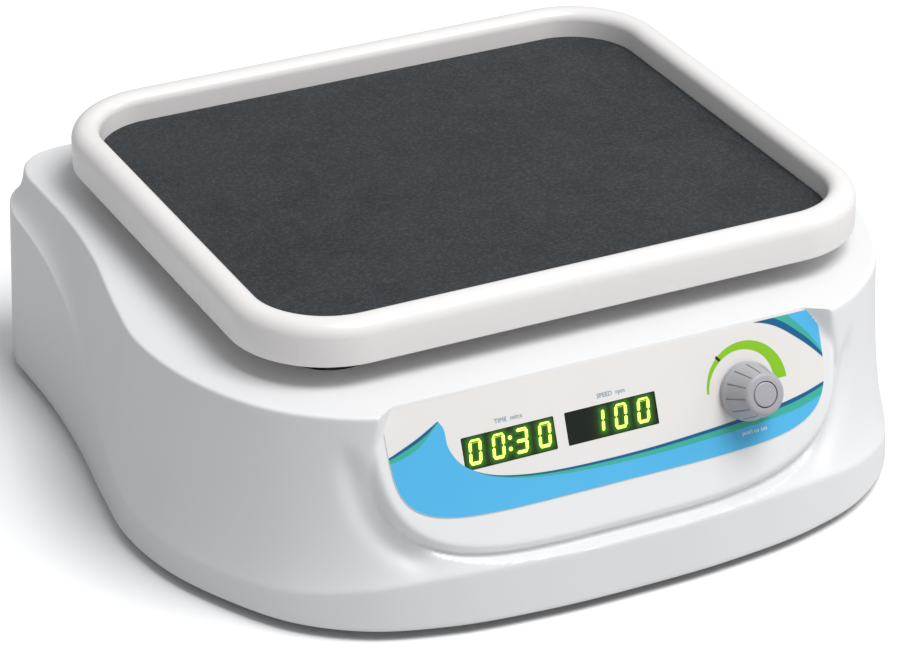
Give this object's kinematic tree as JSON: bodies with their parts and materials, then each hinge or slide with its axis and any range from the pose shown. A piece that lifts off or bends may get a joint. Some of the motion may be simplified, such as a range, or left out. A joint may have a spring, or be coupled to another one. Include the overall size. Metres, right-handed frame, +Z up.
{
  "type": "orbital platform shaker",
  "caption": "Compact bench-top orbital shaker: rimmed platform with a rubber mat on a moulded housing, with a leaning control panel carrying displays and a knob.",
  "frame": {"origin": "middle of the bounding box, on the bench under the feet", "axes": "+Z up, -Y towards the control panel, +X to the right of someone facing the panel"},
  "size_m": [0.3036, 0.2806, 0.109],
  "materials": {
    "shell": "white satin moulding",
    "tray": "warm white, smooth gloss",
    "mat": "dark slate, fine matt texture",
    "foot_rubber": "black, matt",
    "belt_rubber": "black, matt",
    "label": "printed overlay film",
    "display": "dark window",
    "knob": "lilac grey, satin",
    "black_plastic": "black, satin",
    "board": "green lacquered board",
    "plate_steel": "zinc plated sheet",
    "bright_steel": "turned, bright",
    "cast_aluminium": "cast and machined",
    "bronze": "sintered bushing"
  },
  "bodies": {
    "base": {"housing": "shell", "base_pan": "plate_steel", "pan_screw_1": "bright_steel", "pan_screw_2": "bright_steel", "pan_screw_3": "bright_steel", "pan_screw_4": "bright_steel", "foot_1": "foot_rubber", "foot_2": "foot_rubber", "foot_3": "foot_rubber", "foot_4": "foot_rubber", "control_label": "label", "time_display": "display", "speed_display": "display", "display_board": "board", "encoder_body": "black_plastic", "chassis_plate": "plate_steel", "standoff_1": "bright_steel", "standoff_2": "bright_steel", "standoff_3": "bright_steel", "standoff_4": "bright_steel", "bearing_housing": "cast_aluminium", "lower_bearing": "bright_steel", "upper_bearing": "bright_steel", "drive_motor": "black_plastic", "drive_belt": "belt_rubber", "idler_bearing_1": "bright_steel", "idler_bearing_2": "bright_steel", "idler_bearing_3": "bright_steel", "control_board": "board", "power_jack": "black_plastic", "switch_body": "black_plastic"},
    "crank": {"main_shaft": "bright_steel", "drive_pulley": "cast_aluminium", "eccentric_weight": "cast_aluminium", "crank_pin": "bright_steel"},
    "platform": {"tray": "tray", "mat": "mat", "tray_screw_1": "bright_steel", "tray_screw_2": "bright_steel", "tray_screw_3": "bright_steel", "tray_screw_4": "bright_steel", "post_1": "cast_aluminium", "post_2": "cast_aluminium", "post_3": "cast_aluminium", "post_4": "cast_aluminium", "carriage_plate": "plate_steel", "hub_bearing": "bright_steel", "idler_bush_1": "bronze", "idler_bush_2": "bronze", "idler_bush_3": "bronze"},
    "motor_rotor": {"motor_pulley": "bright_steel"},
    "idler_a": {"idler_crank_1": "bright_steel"},
    "idler_b": {"idler_crank_2": "bright_steel"},
    "idler_c": {"idler_crank_3": "bright_steel"},
    "knob_plunger": {"encoder_plunger": "black_plastic"},
    "knob_turner": {"encoder_shaft": "bright_steel", "knob": "knob", "knob_cap": "knob"},
    "rocker": {"rocker_button": "black_plastic"}
  },
  "joints": [
    {"name": "drive_spin", "type": "hinge", "parent": "base", "child": "crank", "pos_m": [0, 0.0069, 0.048], "axis": [0, 0, 1], "continuous": true},
    {"name": "platform_orbit", "type": "hinge", "parent": "crank", "child": "platform", "pos_m": [0.00402, 0.01551, 0.06], "axis": [0, 0, 1], "continuous": true},
    {"name": "motor_spin", "type": "hinge", "parent": "base", "child": "motor_rotor", "pos_m": [-0.072, 0.048, 0.048], "axis": [0, 0, 1], "continuous": true},
    {"name": "idler_a_spin", "type": "hinge", "parent": "base", "child": "idler_a", "pos_m": [0, 0.0789, 0.04], "axis": [0, 0, 1], "continuous": true},
    {"name": "idler_b_spin", "type": "hinge", "parent": "base", "child": "idler_b", "pos_m": [-0.06235, -0.0291, 0.04], "axis": [0, 0, 1], "continuous": true},
    {"name": "idler_c_spin", "type": "hinge", "parent": "base", "child": "idler_c", "pos_m": [0.06235, -0.0291, 0.04], "axis": [0, 0, 1], "continuous": true},
    {"name": "knob_push", "type": "slide", "parent": "base", "child": "knob_plunger", "axis": [0, 0.9336, -0.3584], "range_m": [0, 0.0008], "stiffness_N_per_m": 1500},
    {"name": "knob_turn", "type": "hinge", "parent": "knob_plunger", "child": "knob_turner", "pos_m": [0.0526, -0.11912, 0.06053], "axis": [0, -0.9336, 0.3584], "continuous": true},
    {"name": "power_rocker", "type": "hinge", "parent": "base", "child": "rocker", "pos_m": [0.062, 0.1366, 0.038], "axis": [1, 0, 0], "range_deg": [0, 24]}
  ],
  "couplings": [
    {"joint": "platform_orbit", "follows": "drive_spin", "ratio": -1},
    {"joint": "motor_spin", "follows": "drive_spin", "ratio": 5},
    {"joint": "idler_a_spin", "follows": "drive_spin", "ratio": 1},
    {"joint": "idler_b_spin", "follows": "drive_spin", "ratio": 1},
    {"joint": "idler_c_spin", "follows": "drive_spin", "ratio": 1}
  ]
}
